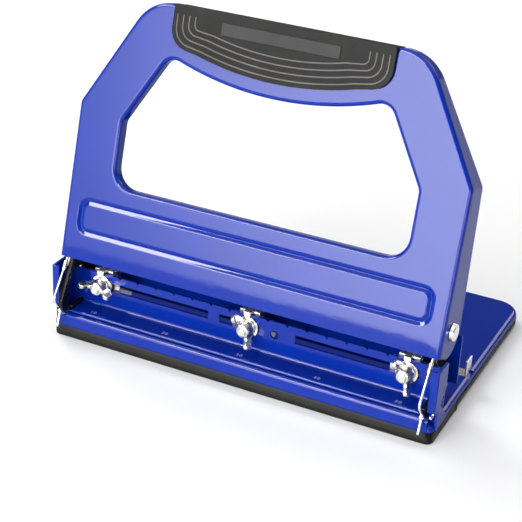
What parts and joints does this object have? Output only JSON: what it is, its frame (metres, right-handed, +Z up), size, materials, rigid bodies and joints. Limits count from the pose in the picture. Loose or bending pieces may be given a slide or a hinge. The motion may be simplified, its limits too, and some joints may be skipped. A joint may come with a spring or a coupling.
{
  "type": "three hole punch",
  "caption": "Adjustable lever-handle paper punch with sliding punch heads, wing nut clamps, side paper guide and chip tray.",
  "frame": {"origin": "on the surface the punch stands on, under the middle of its bounding box", "axes": "+X to the right along the row of holes, +Y from the front rail to the back of the paper table, +Z up"},
  "size_m": [0.269, 0.189, 0.2238],
  "materials": {
    "blue_enamel": "gloss",
    "black_enamel": "satin",
    "black_plastic": "satin",
    "black_rubber": "matt",
    "grip_plastic": "satin",
    "label_plastic": "satin",
    "plated_steel": "zinc or nickel plated",
    "spring_steel": "drawn wire, plated",
    "dark_steel": "oiled",
    "cast_metal": "cast, plated"
  },
  "bodies": {
    "frame": {"base_plate": "blue_enamel", "underbody": "black_plastic", "rear_feet": "black_rubber", "front_panel": "blue_enamel", "rear_plate": "blue_enamel", "end_wall_left": "blue_enamel", "end_wall_right": "blue_enamel", "side_bracket_left": "black_enamel", "side_bracket_right": "black_enamel", "frame_rivets": "plated_steel", "pivot_rivet_left": "plated_steel", "pivot_rivet_right": "plated_steel", "return_spring_left": "spring_steel", "return_spring_right": "spring_steel", "guide_keepers": "plated_steel"},
    "handle": {"handle_plate": "blue_enamel", "handle_grip": "grip_plastic", "grip_label_plate": "label_plastic", "cam_lever_left": "plated_steel", "cam_lever_right": "plated_steel", "cam_rivets": "plated_steel"},
    "press": {"press_bar": "plated_steel"},
    "head_left": {"head_frame_left": "plated_steel", "head_pointer_left": "plated_steel", "clamp_screw_left": "plated_steel", "clamp_washer_left": "plated_steel", "pin_spring_left": "spring_steel"},
    "nut_left": {"wing_nut_left": "cast_metal"},
    "pin_left": {"punch_pin_left": "plated_steel", "pin_clip_left": "dark_steel"},
    "head_centre": {"head_frame_centre": "plated_steel", "head_pointer_centre": "plated_steel", "clamp_screw_centre": "plated_steel", "clamp_washer_centre": "plated_steel", "pin_spring_centre": "spring_steel"},
    "nut_centre": {"wing_nut_centre": "cast_metal"},
    "pin_centre": {"punch_pin_centre": "plated_steel", "pin_clip_centre": "dark_steel"},
    "head_right": {"head_frame_right": "plated_steel", "head_pointer_right": "plated_steel", "clamp_screw_right": "plated_steel", "clamp_washer_right": "plated_steel", "pin_spring_right": "spring_steel"},
    "nut_right": {"wing_nut_right": "cast_metal"},
    "pin_right": {"punch_pin_right": "plated_steel", "pin_clip_right": "dark_steel"},
    "tray": {"chip_tray": "black_plastic"},
    "guide": {"paper_guide": "plated_steel"}
  },
  "joints": [
    {"name": "handle_swing", "type": "hinge", "parent": "frame", "child": "handle", "pos_m": [0, -0.06125, 0.066], "axis": [-1, 0, 0], "range_deg": [0, 58], "stiffness_Nm_per_rad": 1.2, "springref_deg": -28.65},
    {"name": "press_slide", "type": "slide", "parent": "frame", "child": "press", "axis": [0, 0, -1], "range_m": [0, 0.0096]},
    {"name": "head_left_slide", "type": "slide", "parent": "frame", "child": "head_left", "axis": [1, 0, 0], "range_m": [-0.002, 0.064]},
    {"name": "nut_left_turn", "type": "hinge", "parent": "head_left", "child": "nut_left", "pos_m": [-0.108, -0.07145, 0.0336], "axis": [0, -1, 0], "range_deg": [-360, 360]},
    {"name": "pin_left_slide", "type": "slide", "parent": "head_left", "child": "pin_left", "axis": [0, 0, -1], "range_m": [0, 0.0096], "deforming": ["pin_spring_left"]},
    {"name": "head_centre_slide", "type": "slide", "parent": "frame", "child": "head_centre", "axis": [1, 0, 0], "range_m": [-0.015, 0.005]},
    {"name": "nut_centre_turn", "type": "hinge", "parent": "head_centre", "child": "nut_centre", "pos_m": [0, -0.07145, 0.0336], "axis": [0, -1, 0], "range_deg": [-360, 360]},
    {"name": "pin_centre_slide", "type": "slide", "parent": "head_centre", "child": "pin_centre", "axis": [0, 0, -1], "range_m": [0, 0.0096], "deforming": ["pin_spring_centre"]},
    {"name": "head_right_slide", "type": "slide", "parent": "frame", "child": "head_right", "axis": [1, 0, 0], "range_m": [-0.07, 0.002]},
    {"name": "nut_right_turn", "type": "hinge", "parent": "head_right", "child": "nut_right", "pos_m": [0.108, -0.07145, 0.0336], "axis": [0, -1, 0], "range_deg": [-360, 360]},
    {"name": "pin_right_slide", "type": "slide", "parent": "head_right", "child": "pin_right", "axis": [0, 0, -1], "range_m": [0, 0.0096], "deforming": ["pin_spring_right"]},
    {"name": "tray_slide", "type": "slide", "parent": "frame", "child": "tray", "axis": [1, 0, 0], "range_m": [0, 0.2]},
    {"name": "guide_slide", "type": "slide", "parent": "frame", "child": "guide", "axis": [1, 0, 0], "range_m": [0, 0.02]}
  ],
  "couplings": [
    {"joint": "press_slide", "follows": "handle_swing", "m_per_rad": 0.0094},
    {"joint": "pin_left_slide", "follows": "handle_swing", "m_per_rad": 0.0094},
    {"joint": "pin_centre_slide", "follows": "handle_swing", "m_per_rad": 0.0094},
    {"joint": "pin_right_slide", "follows": "handle_swing", "m_per_rad": 0.0094}
  ]
}
